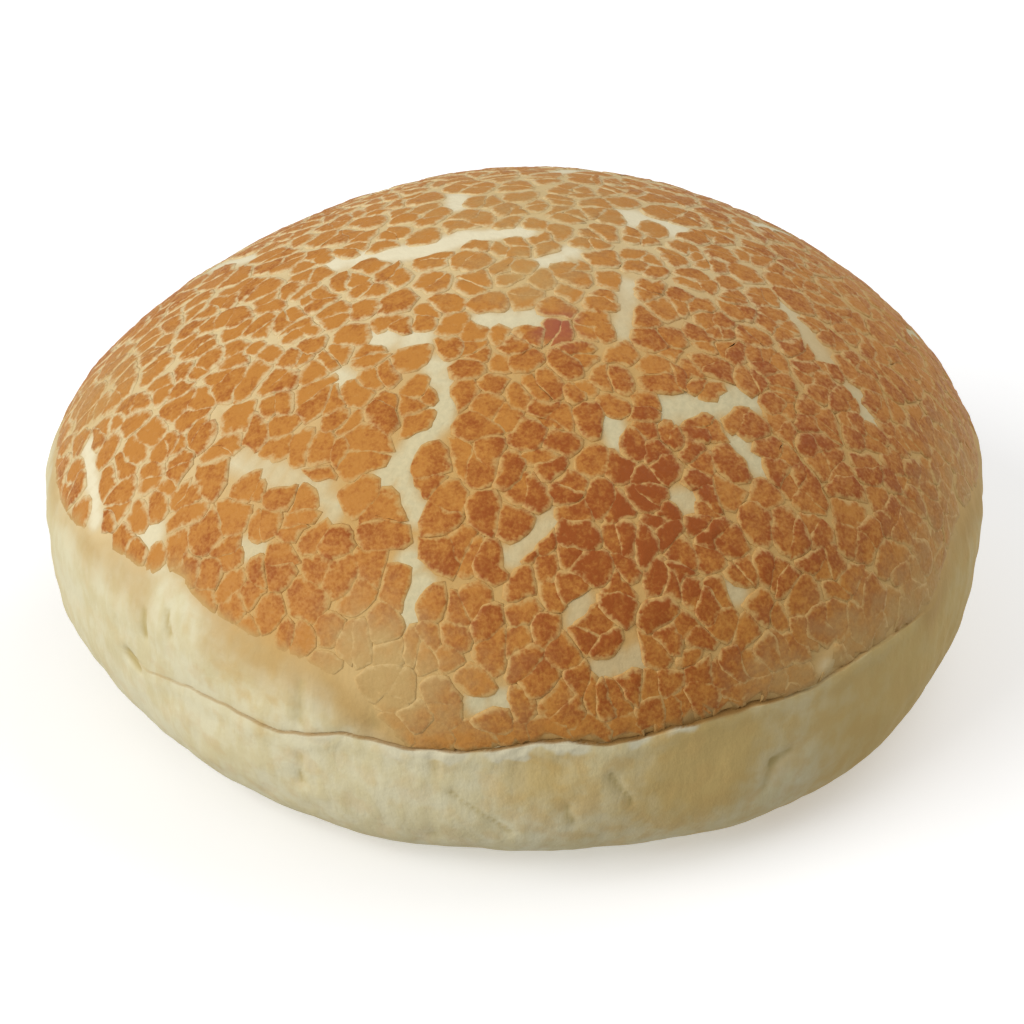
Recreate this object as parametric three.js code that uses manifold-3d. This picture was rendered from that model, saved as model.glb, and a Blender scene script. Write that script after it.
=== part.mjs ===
// Tiger bread roll: a round roll whose dome carries a crackled paste crust, with a flat base and a
// closed knife cut along its front.
//
// Millimetres, +Z up. The origin is the middle of the roll's box at the level that it stands on, and
// the cut faces -Y. Azimuth 0 is the front and turns towards +X. Elevation 0 is the widest level.
// All angles are in degrees.

import * as THREE from 'three';
import { ConvexHull } from 'three/addons/math/ConvexHull.js';
import { mergeVertices } from 'three/addons/utils/BufferGeometryUtils.js';
import Module from 'manifold-3d';

// Dough body: a rounded form about its widest level, cut flat below.
const WAIST_RADIUS = 51.6;
const CROWN_HEIGHT = 31.6;
const CROWN_FULLNESS = 1.75;
const HEEL_DEPTH = 23.7;
const HEEL_FULLNESS = 3.7;
const BASE_DROP = 19.4;

// Uneven baking: places where the body swells out or sinks in.
const SWELLS = [
  { azimuth: -88, elevation: -3, spread: 22, height: 2.9 },
  { azimuth: -62, elevation: -22, spread: 22, height: -2.1 },
  { azimuth: -25, elevation: -28, spread: 20, height: 1.3 },
  { azimuth: 0, elevation: -25, spread: 30, height: -0.9 },
  { azimuth: 35, elevation: -28, spread: 20, height: 1.4 },
  { azimuth: 75, elevation: -18, spread: 24, height: -2.3 },
  { azimuth: 92, elevation: 10, spread: 20, height: 0.4 },
  { azimuth: 125, elevation: 42, spread: 26, height: 0.6 },
  { azimuth: 180, elevation: 30, spread: 26, height: 1.5 },
];

// Paste crust: it covers the dome, thins out at a wavy border and hangs down to the cut in front and,
// less far, to the right of that.
const BORDER_ELEVATION = 5;
const BORDER_WAVES = [
  { turns: 3, phase: 0, height: 1.6 },
  { turns: 7, phase: 40, height: 0.8 },
];
const BORDER_HANGS = [
  { azimuth: 4, halfWidth: 21, drop: 14 },
  { azimuth: 42, halfWidth: 22, drop: 8 },
];
const BORDER_FADE = 8;

// Plates: the crust has broken into groups of plates, with wide cracks between the groups and fine
// ones inside them. Crack widths are half widths, from the middle of the crack to a plate's rim. Round
// one place the plates are finer, by a share of their size.
const CRACK_DEPTH = 0.6;
const FINE_CRACK = { least: 0.2, most: 0.32 };
const WIDE_CRACK = { least: 0.36, most: 0.62 };
const PLATE_SMALL = 2.2;
const PLATE_LARGE = 5.8;
const FINE_PLATES = { azimuth: 25, elevation: 38, spread: 30, share: 0.2 };
const PLATE_TRIES = 9000;
const PLATE_LIFT = 0.12;
const PLATE_REACH = 92;
const GROUP_SPACING = 8.5;
const GROUP_TRIES = 3000;
const LAYOUT_SEED = 20417;

// Rifts: broad breaks in the crust, as degrees [right of, in front of] the crown. Plates keep clear of a
// rift's middle line by a share of its half width.
const RIFT_ROOM = 0.6;
const RIFTS = [
  { width: 2.6, path: [[-37, 1], [-28, 3], [-20, 5], [-13, 2]] },
  { width: 1.8, path: [[-13, 2], [-1, 2]] },
  { width: 1.8, path: [[-14, -22], [-14, -14]] },
  { width: 1.7, path: [[3, 13], [8, 9]] },
  { width: 3.6, path: [[20, -9], [27, -8]] },
  { width: 1.6, path: [[19, 18], [17, 31]] },
  { width: 2.4, path: [[-8, 30], [0, 30]] },
  { width: 2.6, path: [[-27, 30], [-21, 32]] },
  { width: 1.9, path: [[-17, 39], [-15, 46], [-16, 50], [-22, 55], [-25, 57]] },
  { width: 1.6, path: [[-22, 57], [-19, 63]] },
  { width: 1.7, path: [[-34, 36], [-33, 38]] },
  { width: 2.7, path: [[24, 46], [31, 43], [38, 39]] },
  { width: 1.7, path: [[47, 10], [53, 20]] },
  { width: 2.0, path: [[36, 48], [39, 50]] },
  { width: 2.2, path: [[58, 25], [60, 28]] },
  { width: 1.8, path: [[14, 50], [15, 53]] },
  { width: 1.7, path: [[-76, 17], [-75, 28], [-75, 33]] },
  { width: 2.8, path: [[-65, 45], [-64, 53], [-63, 60]] },
  { width: 1.7, path: [[-50, 44], [-43, 50], [-36, 55], [-33, 59]] },
  { width: 1.9, path: [[-20, 69], [-18, 72], [-20, 75]] },
  { width: 1.7, path: [[3, 66], [-3, 70]] },
  { width: 1.8, path: [[25, 60], [27, 60]] },
  { width: 1.8, path: [[-48, 58], [-46, 59]] },
  { width: 1.8, path: [[8, 75], [8, 77]] },
  { width: 1.8, path: [[34, 69], [34, 70]] },
  { width: 1.6, path: [[-9, 86], [-5, 86]] },
  { width: 1.8, path: [[12, 82], [18, 80]] },
  { width: 2.2, path: [[6, -38], [12, -44], [20, -46]] },
  { width: 1.8, path: [[-30, -40], [-26, -50]] },
  { width: 2.4, path: [[44, -28], [50, -36]] },
  { width: 1.7, path: [[-52, -18], [-58, -28], [-56, -36]] },
  { width: 2.0, path: [[-6, -62], [4, -66]] },
  { width: 1.8, path: [[32, -62], [40, -60]] },
  { width: 2.1, path: [[70, -12], [72, -20]] },
  { width: 1.9, path: [[-34, -66], [-30, -72]] },
];

// Bare dough below the crust: small facets on the sides and coarse ones underneath.
const SIDE_FACET = 5.2;
const UNDER_FACET = 12;
const UNDER_ELEVATION = -32;
const DOUGH_HIGHEST = 15;
const DOUGH_TRIES = 7000;

// Knife cut: a wavering line round the front, deepest in the middle, between two rows of lip cells.
const CUT_ELEVATION = -1.8;
const CUT_TILT = 4;
const CUT_WAVE = { turns: 17, phase: 73, height: 0.45 };
const CUT_HALF_ANGLE = 58;
const CUT_DEPTH = 4;
const CUT_HALF_WIDTH = 0.35;
const LIP_SPREAD = 1.4;
const LIP_SPACING = 3.9;
const LIP_SIZE = 2.4;

// Cell corners closer together than this, as a share of the radius, are one corner. A ring's corner
// lies further in than its sides do, and a small plate keeps at least half of its cell.
const CORNER_MERGE = 0.005;
const CORNER_STRETCH = 1.2;
const LARGEST_INSET = 0.5;

const CRUST_COLOUR = 0xc07c3c;
const CRUST_ROUGHNESS = 0.7;

const { degToRad, radToDeg, lerp, smoothstep } = THREE.MathUtils;

function direction(azimuth, elevation) {
  const across = Math.cos(degToRad(elevation));
  return new THREE.Vector3(
    across * Math.sin(degToRad(azimuth)),
    -across * Math.cos(degToRad(azimuth)),
    Math.sin(degToRad(elevation)),
  );
}

function fromCrown(right, front) {
  return direction(radToDeg(Math.atan2(right, front)), 90 - Math.hypot(right, front));
}

const azimuthOf = (way) => radToDeg(Math.atan2(way.x, -way.y));
const elevationOf = (way) => radToDeg(Math.asin(way.z));
const wave = ({ turns, phase, height }, azimuth) => height * Math.sin(degToRad(turns * azimuth + phase));
const swellCentres = SWELLS.map(({ azimuth, elevation }) => direction(azimuth, elevation));

function bodyRadius(way) {
  const height = way.z > 0 ? CROWN_HEIGHT : HEEL_DEPTH;
  const fullness = way.z > 0 ? CROWN_FULLNESS : HEEL_FULLNESS;
  const across = Math.hypot(way.x, way.y) / WAIST_RADIUS;
  const upright = Math.abs(way.z) / height;
  const plain = (across ** fullness + upright ** fullness) ** (-1 / fullness);
  return SWELLS.reduce((radius, { spread, height: rise }, i) => {
    const turn = radToDeg(way.angleTo(swellCentres[i])) / spread;
    return radius + rise * Math.exp((-turn * turn) / 2);
  }, plain);
}

function pointAt(way, raise = 0) {
  return way.clone().multiplyScalar(bodyRadius(way) + raise);
}

function cutElevation(azimuth) {
  return CUT_ELEVATION + CUT_TILT * Math.sin(degToRad(azimuth)) + wave(CUT_WAVE, azimuth);
}

function cutDepth(way) {
  return CUT_DEPTH * Math.max(0, 1 - (azimuthOf(way) / CUT_HALF_ANGLE) ** 2);
}

function borderElevation(azimuth) {
  const plain = BORDER_WAVES.reduce((sum, each) => sum + wave(each, azimuth), BORDER_ELEVATION);
  return BORDER_HANGS.reduce((level, hang) => {
    const off = (azimuth - hang.azimuth) / hang.halfWidth;
    return level - hang.drop * Math.exp(-(off ** 4));
  }, plain);
}

// How much paste lies here, from 0 on bare dough to 1 on the dome. The crust ends at the cut.
function crustCover(way) {
  const azimuth = azimuthOf(way);
  const elevation = elevationOf(way);
  if (elevation < cutElevation(azimuth)) {
    return 0;
  }
  return smoothstep(elevation - borderElevation(azimuth), 0, BORDER_FADE);
}

// Repeatable draws between 0 and 1, by the minimal standard generator.
function seededRandom(seed) {
  const multiplier = 48271;
  const modulus = 2 ** 31 - 1;
  let state = seed;
  return () => {
    state = (state * multiplier) % modulus;
    return state / modulus;
  };
}

// Each seed is the middle of one cell of the surface: a plate, a lip of the cut, a stretch of rift or
// a facet of bare dough. side is 1 on the cut's upper lip, -1 on its lower lip and 0 elsewhere.
function makeSeed(way, size, kind, extra = {}) {
  return { way, size, kind, point: pointAt(way), side: 0, group: kind, draw: 0, ...extra };
}

function hasRoom(seed, seeds) {
  return seeds.every(({ point, size }) => point.distanceTo(seed.point) >= (size + seed.size) / 2);
}

function lipSeeds() {
  const seeds = [];
  const pairs = Math.round((2 * degToRad(CUT_HALF_ANGLE) * WAIST_RADIUS) / LIP_SPACING);
  const spread = radToDeg(LIP_SPREAD / WAIST_RADIUS);
  for (let pair = 0; pair <= pairs; pair += 1) {
    const azimuth = lerp(-CUT_HALF_ANGLE, CUT_HALF_ANGLE, pair / pairs);
    for (const side of [1, -1]) {
      const way = direction(azimuth, cutElevation(azimuth) + side * spread);
      seeds.push(makeSeed(way, LIP_SIZE, crustCover(way) > 0 ? 'plate' : 'lip', { side }));
    }
  }
  return seeds;
}

function addRiftSeeds(seeds) {
  for (const { width, path } of RIFTS) {
    for (let leg = 0; leg + 1 < path.length; leg += 1) {
      const start = fromCrown(...path[leg]);
      const end = fromCrown(...path[leg + 1]);
      const steps = Math.max(1, Math.round(pointAt(start).distanceTo(pointAt(end)) / width));
      for (let step = 0; step <= steps; step += 1) {
        const way = start.clone().lerp(end, step / steps).normalize();
        const seed = makeSeed(way, RIFT_ROOM * width, 'rift');
        if (seeds.every(({ point }) => point.distanceTo(seed.point) > width / 2)) {
          seeds.push(seed);
        }
      }
    }
  }
}

function throwOnDome(random) {
  const right = lerp(-PLATE_REACH, PLATE_REACH, random());
  return fromCrown(right, lerp(-PLATE_REACH, PLATE_REACH, random()));
}

function groupMiddles(random) {
  const groups = [];
  for (let tried = 0; tried < GROUP_TRIES; tried += 1) {
    const seed = makeSeed(throwOnDome(random), GROUP_SPACING, 'group');
    if (hasRoom(seed, groups)) {
      groups.push(seed);
    }
  }
  return groups.map(({ point }) => point);
}

function nearest(point, points) {
  const gaps = points.map((other) => other.distanceTo(point));
  return gaps.indexOf(Math.min(...gaps));
}

function plateFineness(way) {
  const { azimuth, elevation, spread, share } = FINE_PLATES;
  const turn = radToDeg(way.angleTo(direction(azimuth, elevation))) / spread;
  return 1 - share * Math.exp((-turn * turn) / 2);
}

function addPlateSeeds(seeds, random) {
  const middles = groupMiddles(random);
  for (let tried = 0; tried < PLATE_TRIES; tried += 1) {
    const way = throwOnDome(random);
    const largest = lerp(PLATE_LARGE, PLATE_SMALL, tried / PLATE_TRIES);
    const size = lerp(PLATE_SMALL, largest, random()) * plateFineness(way);
    const seed = makeSeed(way, size, 'plate', { draw: random() });
    if (crustCover(way) > 0 && hasRoom(seed, seeds)) {
      seed.group = nearest(seed.point, middles);
      seeds.push(seed);
    }
  }
}

function addDoughSeeds(seeds, random) {
  for (let tried = 0; tried < DOUGH_TRIES; tried += 1) {
    const elevation = lerp(-90, DOUGH_HIGHEST, random());
    const way = direction(lerp(-180, 180, random()), elevation);
    const seed = makeSeed(way, elevation < UNDER_ELEVATION ? UNDER_FACET : SIDE_FACET, 'dough');
    if (crustCover(way) === 0 && hasRoom(seed, seeds)) {
      seeds.push(seed);
    }
  }
}

function plantSeeds() {
  const random = seededRandom(LAYOUT_SEED);
  const seeds = lipSeeds();
  addRiftSeeds(seeds);
  addPlateSeeds(seeds, random);
  addDoughSeeds(seeds, random);
  return seeds;
}

// Cells round the seeds: the hull of their directions has a facet for each point where three cells
// meet, and that point lies along the facet's normal. Returns those corners and each cell's ring.
function layOutCells(seeds) {
  const order = new Map(seeds.map(({ way }, i) => [way, i]));
  const corners = [];
  const rings = seeds.map(() => []);
  for (const facet of new ConvexHull().setFromPoints([...order.keys()]).faces) {
    const corner = cornerAlong(corners, facet.normal);
    for (const side of [facet.edge, facet.edge.next, facet.edge.prev]) {
      const cell = order.get(side.head().point);
      corner.cells.add(cell);
      if (!rings[cell].includes(corner)) {
        rings[cell].push(corner);
      }
    }
  }
  rings.forEach((ring, i) => sortAround(ring, seeds[i].way));
  return { corners, rings };
}

// The corner that lies this way, added to the list where there is none yet.
function cornerAlong(corners, way) {
  const found = corners.find((corner) => corner.way.distanceTo(way) < CORNER_MERGE);
  if (found) {
    return found;
  }
  const corner = { way: way.clone(), cells: new Set(), lips: new Map(), index: corners.length };
  corners.push(corner);
  return corner;
}

// Puts a ring of corners in anticlockwise order as seen from outside.
function sortAround(ring, way) {
  const sideways = new THREE.Vector3(-way.y, way.x, 0).normalize();
  const along = way.clone().cross(sideways);
  const turn = (corner) => Math.atan2(corner.way.dot(along), corner.way.dot(sideways));
  ring.sort((a, b) => turn(a) - turn(b));
}

// The cell on the other side of the edge between two corners of a cell's ring.
function neighbour(cell, corner, next) {
  return [...corner.cells].find((other) => other !== cell && next.cells.has(other));
}

// The bottom of a crack, or of the cut where cells of both lips meet.
function bottomPoint({ way, cells }, seeds) {
  const sides = [...cells].map((cell) => seeds[cell].side);
  const depth = sides.includes(1) && sides.includes(-1) ? cutDepth(way) : 0;
  return pointAt(way, -depth - CRACK_DEPTH * crustCover(way));
}

// The edge of a lip above or below a corner of the cut. At the cut's two ends it is the corner itself.
function lipCorner(corner, side, seeds, points) {
  const sides = [...corner.cells].map((cell) => seeds[cell].side);
  if (sides.includes(0) || !sides.includes(1) || !sides.includes(-1)) {
    return corner;
  }
  if (!corner.lips.has(side)) {
    const opening = radToDeg(CUT_HALF_WIDTH / WAIST_RADIUS);
    const way = direction(azimuthOf(corner.way), elevationOf(corner.way) + side * opening);
    corner.lips.set(side, { way, index: points.length });
    points.push(pointAt(way, -CRACK_DEPTH * crustCover(way)));
  }
  return corner.lips.get(side);
}

function rimInset(a, b) {
  const crack = a.group === b.group ? FINE_CRACK : WIDE_CRACK;
  return lerp(crack.least, crack.most, (a.draw + b.draw) % 1);
}

// A plate's rim: the cell's ring drawn in from the cracks, at the level of the surface.
function rimPoints(ways, insets, lift) {
  const middle = ways.reduce((sum, way) => sum.add(way), new THREE.Vector3()).normalize();
  return ways.map((way, k) => {
    const before = insets[(k + ways.length - 1) % ways.length];
    const inset = (CORNER_STRETCH * (insets[k] + before)) / 2;
    const reach = pointAt(way).distanceTo(pointAt(middle));
    const rim = way.clone().lerp(middle, Math.min(LARGEST_INSET, inset / reach)).normalize();
    return pointAt(rim, lift * crustCover(rim));
  });
}

function addTriangle(triangles, a, b, c) {
  if (a !== b && b !== c && c !== a) {
    triangles.push(a, b, c);
  }
}

function addFan(triangles, ring) {
  for (let k = 1; k + 1 < ring.length; k += 1) {
    addTriangle(triangles, ring[0], ring[k], ring[k + 1]);
  }
}

function addStrip(triangles, outer, inner, k) {
  const next = (k + 1) % outer.length;
  addTriangle(triangles, outer[k], outer[next], inner[next]);
  addTriangle(triangles, outer[k], inner[next], inner[k]);
}

// One cell: walls down into the cut, and on a plate also walls down into its cracks.
function addCell(cell, ring, seeds, points, triangles) {
  const seed = seeds[cell];
  const others = ring.map((corner, k) => seeds[neighbour(cell, corner, ring[(k + 1) % ring.length])]);
  const edge = ring.map((corner) => lipCorner(corner, seed.side, seeds, points));
  const bottom = ring.map(({ index }) => index);
  const outer = edge.map(({ index }) => index);
  others.forEach(({ side }, k) => {
    if (side * seed.side < 0) {
      addStrip(triangles, bottom, outer, k);
    }
  });
  if (seed.kind !== 'plate') {
    addFan(triangles, outer);
    return;
  }
  const insets = others.map((other) => rimInset(seed, other));
  const inner = outer.map((_, k) => points.length + k);
  const lift = lerp(-PLATE_LIFT, PLATE_LIFT, seed.draw);
  points.push(...rimPoints(edge.map(({ way }) => way), insets, lift));
  outer.forEach((_, k) => addStrip(triangles, outer, inner, k));
  addFan(triangles, inner);
}

function rollSurface() {
  const seeds = plantSeeds();
  const { corners, rings } = layOutCells(seeds);
  const points = corners.map((corner) => bottomPoint(corner, seeds));
  const triangles = [];
  rings.forEach((ring, cell) => addCell(cell, ring, seeds, points, triangles));
  return new THREE.BufferGeometry().setFromPoints(points).setIndex(triangles);
}

function groundBlock() {
  const side = 4 * WAIST_RADIUS;
  return new THREE.BoxGeometry(side, side, side).translate(0, 0, -BASE_DROP - side / 2);
}

function toSolid(wasm, geometry) {
  geometry.deleteAttribute('normal');
  geometry.deleteAttribute('uv');
  const merged = mergeVertices(geometry);
  return new wasm.Manifold(
    new wasm.Mesh({
      numProp: 3,
      vertProperties: new Float32Array(merged.attributes.position.array),
      triVerts: new Uint32Array(merged.index.array),
    }),
  );
}

function toGeometry(solid) {
  const { vertProperties, triVerts } = solid.getMesh();
  const geometry = new THREE.BufferGeometry();
  geometry.setAttribute('position', new THREE.BufferAttribute(vertProperties, 3));
  geometry.setIndex(new THREE.BufferAttribute(triVerts, 1));
  geometry.computeVertexNormals();
  return geometry;
}

function standOnOrigin(geometry) {
  geometry.computeBoundingBox();
  const { min, max } = geometry.boundingBox;
  return geometry.translate(-(min.x + max.x) / 2, -(min.y + max.y) / 2, -min.z);
}

async function makeRoll() {
  const wasm = await Module();
  wasm.setup();
  const solid = toSolid(wasm, rollSurface()).subtract(toSolid(wasm, groundBlock()));
  const crust = new THREE.MeshStandardMaterial({
    color: CRUST_COLOUR,
    roughness: CRUST_ROUGHNESS,
    metalness: 0,
  });
  const roll = new THREE.Mesh(standOnOrigin(toGeometry(solid)), crust);
  roll.name = 'roll';
  return roll;
}

const part = new THREE.Group();
part.add(await makeRoll());

export default part;
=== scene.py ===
"""Looks of a tiger bread roll: pale dough, a crackled crust of browned paste plates, and a knife cut.

The solid's layout is worked out again here from the same named sizes and the same seeded draws, so each
plate lies where the solid has it. Lengths are millimetres and angles degrees until a mesh is made.
Azimuth 0 is the front (-Y) and turns towards +X. Elevation 0 is the roll's widest level.
"""

import bpy
import numpy as np
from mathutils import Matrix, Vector, noise


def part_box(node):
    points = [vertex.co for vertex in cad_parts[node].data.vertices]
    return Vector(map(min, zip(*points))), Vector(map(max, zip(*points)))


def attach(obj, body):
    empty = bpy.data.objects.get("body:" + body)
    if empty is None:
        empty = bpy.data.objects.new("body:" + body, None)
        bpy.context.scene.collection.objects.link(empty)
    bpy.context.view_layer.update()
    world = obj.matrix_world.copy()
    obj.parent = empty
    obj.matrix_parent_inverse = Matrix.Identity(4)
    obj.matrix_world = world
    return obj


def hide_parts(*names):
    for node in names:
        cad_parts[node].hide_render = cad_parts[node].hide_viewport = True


# Metres in a millimetre.
MM = 0.001

# Dough body, as in the solid. The base's edge is a little rounded, and a direction that hardly falls at all
# counts as falling by the least fall, so that each one meets the base's plane somewhere.
WAIST_RADIUS = 51.6
CROWN_HEIGHT = 31.6
CROWN_FULLNESS = 1.75
HEEL_DEPTH = 23.7
HEEL_FULLNESS = 3.7
BASE_DROP = 19.4
BASE_EDGE_FULLNESS = 24
LEAST_FALL = 1e-6

# Places where the body swells out or sinks in: azimuth, elevation, spread, height.
SWELLS = [
    (-88, -3, 22, 2.9),
    (-62, -22, 22, -2.1),
    (-25, -28, 20, 1.3),
    (0, -25, 30, -0.9),
    (35, -28, 20, 1.4),
    (75, -18, 24, -2.3),
    (92, 10, 20, 0.4),
    (125, 42, 26, 0.6),
    (180, 30, 26, 1.5),
]

# Paste crust: its wavy lower border, as turns, phase and height, where it hangs lower, as azimuth, half
# width and drop, and the height in degrees over which the solid's paste thickens.
BORDER_ELEVATION = 5
BORDER_WAVES = [(3, 0, 1.6), (7, 40, 0.8)]
BORDER_HANGS = [(4, 21, 14), (42, 22, 8)]
BORDER_FADE = 8

# Plates of paste, as the solid plants them. Round one place they are finer: azimuth, elevation, spread
# and the share by which they shrink.
PLATE_SMALL = 2.2
PLATE_LARGE = 5.8
FINE_PLATES = (25, 38, 30, 0.2)
PLATE_TRIES = 9000
PLATE_REACH = 92
GROUP_SPACING = 8.5
GROUP_TRIES = 3000
LAYOUT_SEED = 20417

# Rifts, broad breaks in the crust: width, then degrees (right of, in front of) the crown. Plates keep
# clear of a rift's middle line by a share of its half width.
RIFT_ROOM = 0.6
RIFTS = [
    (2.6, [(-37, 1), (-28, 3), (-20, 5), (-13, 2)]),
    (1.8, [(-13, 2), (-1, 2)]),
    (1.8, [(-14, -22), (-14, -14)]),
    (1.7, [(3, 13), (8, 9)]),
    (3.6, [(20, -9), (27, -8)]),
    (1.6, [(19, 18), (17, 31)]),
    (2.4, [(-8, 30), (0, 30)]),
    (2.6, [(-27, 30), (-21, 32)]),
    (1.9, [(-17, 39), (-15, 46), (-16, 50), (-22, 55), (-25, 57)]),
    (1.6, [(-22, 57), (-19, 63)]),
    (1.7, [(-34, 36), (-33, 38)]),
    (2.7, [(24, 46), (31, 43), (38, 39)]),
    (1.7, [(47, 10), (53, 20)]),
    (2.0, [(36, 48), (39, 50)]),
    (2.2, [(58, 25), (60, 28)]),
    (1.8, [(14, 50), (15, 53)]),
    (1.7, [(-76, 17), (-75, 28), (-75, 33)]),
    (2.8, [(-65, 45), (-64, 53), (-63, 60)]),
    (1.7, [(-50, 44), (-43, 50), (-36, 55), (-33, 59)]),
    (1.9, [(-20, 69), (-18, 72), (-20, 75)]),
    (1.7, [(3, 66), (-3, 70)]),
    (1.8, [(25, 60), (27, 60)]),
    (1.8, [(-48, 58), (-46, 59)]),
    (1.8, [(8, 75), (8, 77)]),
    (1.8, [(34, 69), (34, 70)]),
    (1.6, [(-9, 86), (-5, 86)]),
    (1.8, [(12, 82), (18, 80)]),
    (2.2, [(6, -38), (12, -44), (20, -46)]),
    (1.8, [(-30, -40), (-26, -50)]),
    (2.4, [(44, -28), (50, -36)]),
    (1.7, [(-52, -18), (-58, -28), (-56, -36)]),
    (2.0, [(-6, -62), (4, -66)]),
    (1.8, [(32, -62), (40, -60)]),
    (2.1, [(70, -12), (72, -20)]),
    (1.9, [(-34, -66), (-30, -72)]),
]

# Cells of bare dough, which bound the lowest plates: their size on the side, and underneath, which starts
# at an elevation, and the highest elevation that is tried.
SIDE_FACET = 5.2
UNDER_FACET = 12
UNDER_ELEVATION = -32
DOUGH_HIGHEST = 15
DOUGH_TRIES = 7000

# Knife cut round the front, with its wave as turns, phase and height, and the cells along its lips.
CUT_ELEVATION = -1.8
CUT_TILT = 4
CUT_WAVE = (17, 73, 0.45)
CUT_HALF_ANGLE = 58
LIP_SPREAD = 1.4
LIP_SPACING = 3.9
LIP_SIZE = 2.4

# Larger plates have split again: the size from which they are in two or more, how many, and how far those
# lie apart. Their places round the middle are uneven. On the right they split as if they were larger:
# azimuth, elevation, spread and extra share.
SPLIT_SIZES = [(2.5, 2, 0.27), (3.5, 3, 0.31), (4.8, 4, 0.34)]
SPLIT_SHARE = 0.9
SPLIT_FINER = (70, 22, 26, 0.5)
SPLIT_TURN = 0.7
SPLIT_REACH = (0.5, 1.4)
SPLIT_SEED = 611

# A plate that stands alone in a rift: degrees (right of, in front of) the crown.
ISLAND = (-64, 49)

# Cracks, as half widths between two limits: beside the plates of the cut's lip, inside a group of plates and
# between groups. Rims overlap where a width is negative. Plates keep clear of a rift by a share of its width.
HAIR_CRACK = (-0.9, -0.4)
FINE_CRACK = (-0.5, -0.1)
WIDE_CRACK = (-0.32, -0.02)
RIFT_REACH = (0.12, 0.45)

# Places where the cracks are wider, or narrower: degrees (right of, in front of) the crown, spread, extra
# half width.
OPEN_CRACKS = [(5, -15, 34, 0.17), (65, 32, 24, -0.12), (15, 65, 10, -0.1)]

# Plate outlines: the number of neighbours that bound one, how sharp its corners are, its least reach towards
# a neighbour, and the least mean reach of a plate that is kept.
PLATE_NEIGHBOURS = 18
CORNER_SHARPNESS = (5, 9)
PLATE_LEAST_REACH = 0.35
SMALLEST_PLATE = 0.7

# Wavering of the cracks and of each rim, as reach and length. The seed makes the noise the same in each run.
CRACK_WAVERS = [(1.1, 4.0), (0.5, 1.6)]
RIM_WAVER = (0.2, 1.1)
WAVER_SEED = 29

# Plate form: how far each ring lies in from the outline, and its height as a share of the thickness, which
# the crown exceeds. Each plate is lifted and leans by chance, and is rough, as height and length. The outline
# is rooted below the crack's floor, and the dough under plates is sunk, so that no gap shows.
CRACK_DEPTH = 0.14
PLATE_LIFT = 0.08
PLATE_LEAN = 0.06
LEAN_TURN = 40
PLATE_ROUGH = (0.09, 0.9)
PLATE_RINGS = [(0.0, 0.0), (0.16, 0.35), (0.4, 0.8), (0.8, 1.0)]
PLATE_CROWN = 1.1
PLATE_ROOT = 0.14
DOUGH_SINK = 0.06
THINNEST_PLATE = 0.05
FADED_FLATNESS = 0.8

# Points round a plate: the step along its outline, and the fewest and the most.
PLATE_STEP = 0.42
PLATE_SPOKES = (12, 32)

# Thin paste: the least cover at a plate's middle, how far plates sink where they are thin, and the two
# covers between which that sets in.
THINNEST_COVER = 0.4
THIN_SINK = 0.25
SUNK_COVER = (0.3, 0.6)

# Plates at the cut: how far they sink below its line, and the depths below the line between which they sink
# and take the cut's browned colour, which is partly real and partly painted shade.
CUT_SINK = 0.6
CUT_SINK_EDGE = (0.0, 0.4)
CUT_BROWN_SHADE_EDGE = (-0.45, 0.0)

# Heights above the crust's border, in degrees, between which the plates thin out and the stain fades. On the
# left side the plates hang lower, by azimuth, half width and drop. The stain is strongest round an azimuth,
# over a half width, and has a share elsewhere and there.
PASTE_EDGE = (0.5, 4.0)
PASTE_HANG = (-90, 24, 3)
STAIN_EDGE = (-7.0, 2.0)
STAIN_FRONT = (15, 55)
STAIN_SHARE = (0.75, 1.0)

# Pale bare places at the crust's border: azimuth, elevation, spread, share.
BARE_SPOTS = [(-47.8, 6.0, 2.4, 1.0), (-45.6, 4.2, 2.6, 1.0), (36.4, 1.8, 1.2, 0.65)]

# Places where the paste is thin and golden and its cracks are faint: azimuth, elevation, spread, strength.
FADED_SPOTS = [
    (-19, 5, 6, 0.9),
    (-6, 2, 8, 0.3),
    (28, 1, 5, 0.5),
    (40, 1, 6, 0.6),
    (54, 1, 7, 0.6),
    (72, 5, 10, 0.55),
    (90, 6, 10, 0.3),
    (-1.5, 70.5, 7, 0.4),
    (-87, 15, 9, 0.5),
    (180, 78, 24, 0.5),
]

# Cracks are golden round these azimuths and elevations and paler on the other side.
GOLD_SIDES = [(15, -5), (80, -25)]
GOLD_RANGE = (0.0, 0.7)

# Rifts fade out between two shares of their width, and come in between two covers of paste. In some places
# they are dull, more like a crack: degrees (right of, in front of) the crown, spread, share.
RIFT_FADE = (0.4, 1.1)
RIFT_COVER = (0.2, 0.8)
DULL_RIFTS = [
    (53, 18, 9, 0.55),
    (13, 79, 7, 0.5),
    (30, 65, 8, 0.4),
    (18, 25, 6, 0.4),
    (-41, 51, 8, 0.35),
    (1, 68, 5, 0.3),
]

# A plate that is stained dark pink: degrees (right of, in front of) the crown, and spread.
BLUSH = (4.6, 32, 3.6)

# Brownness of the crust: its least value, its range by chance, and browner or lighter places: degrees (right
# of, in front of) the crown, spread, strength.
BROWN_LEAST = 0.2
BROWN_RANGE = 0.35
BROWN_SPOTS = [
    (12, 67, 10, 0.35),
    (45, 45, 25, 0.15),
    (-75, 25, 25, -0.15),
    (0, -15, 35, -0.3),
    (-30, 0, 30, -0.15),
    (64, -14, 11, -0.25),
]

# Painted shade on the dark side of the fold in the crust's front, added to the crust's brownness: degrees
# (right of, in front of) the crown, spread, strength, and the azimuths between which it starts.
FOLD_SHADE = (18, 61, 6, 0.6)
FOLD_EDGE = (12, 14.5)

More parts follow.
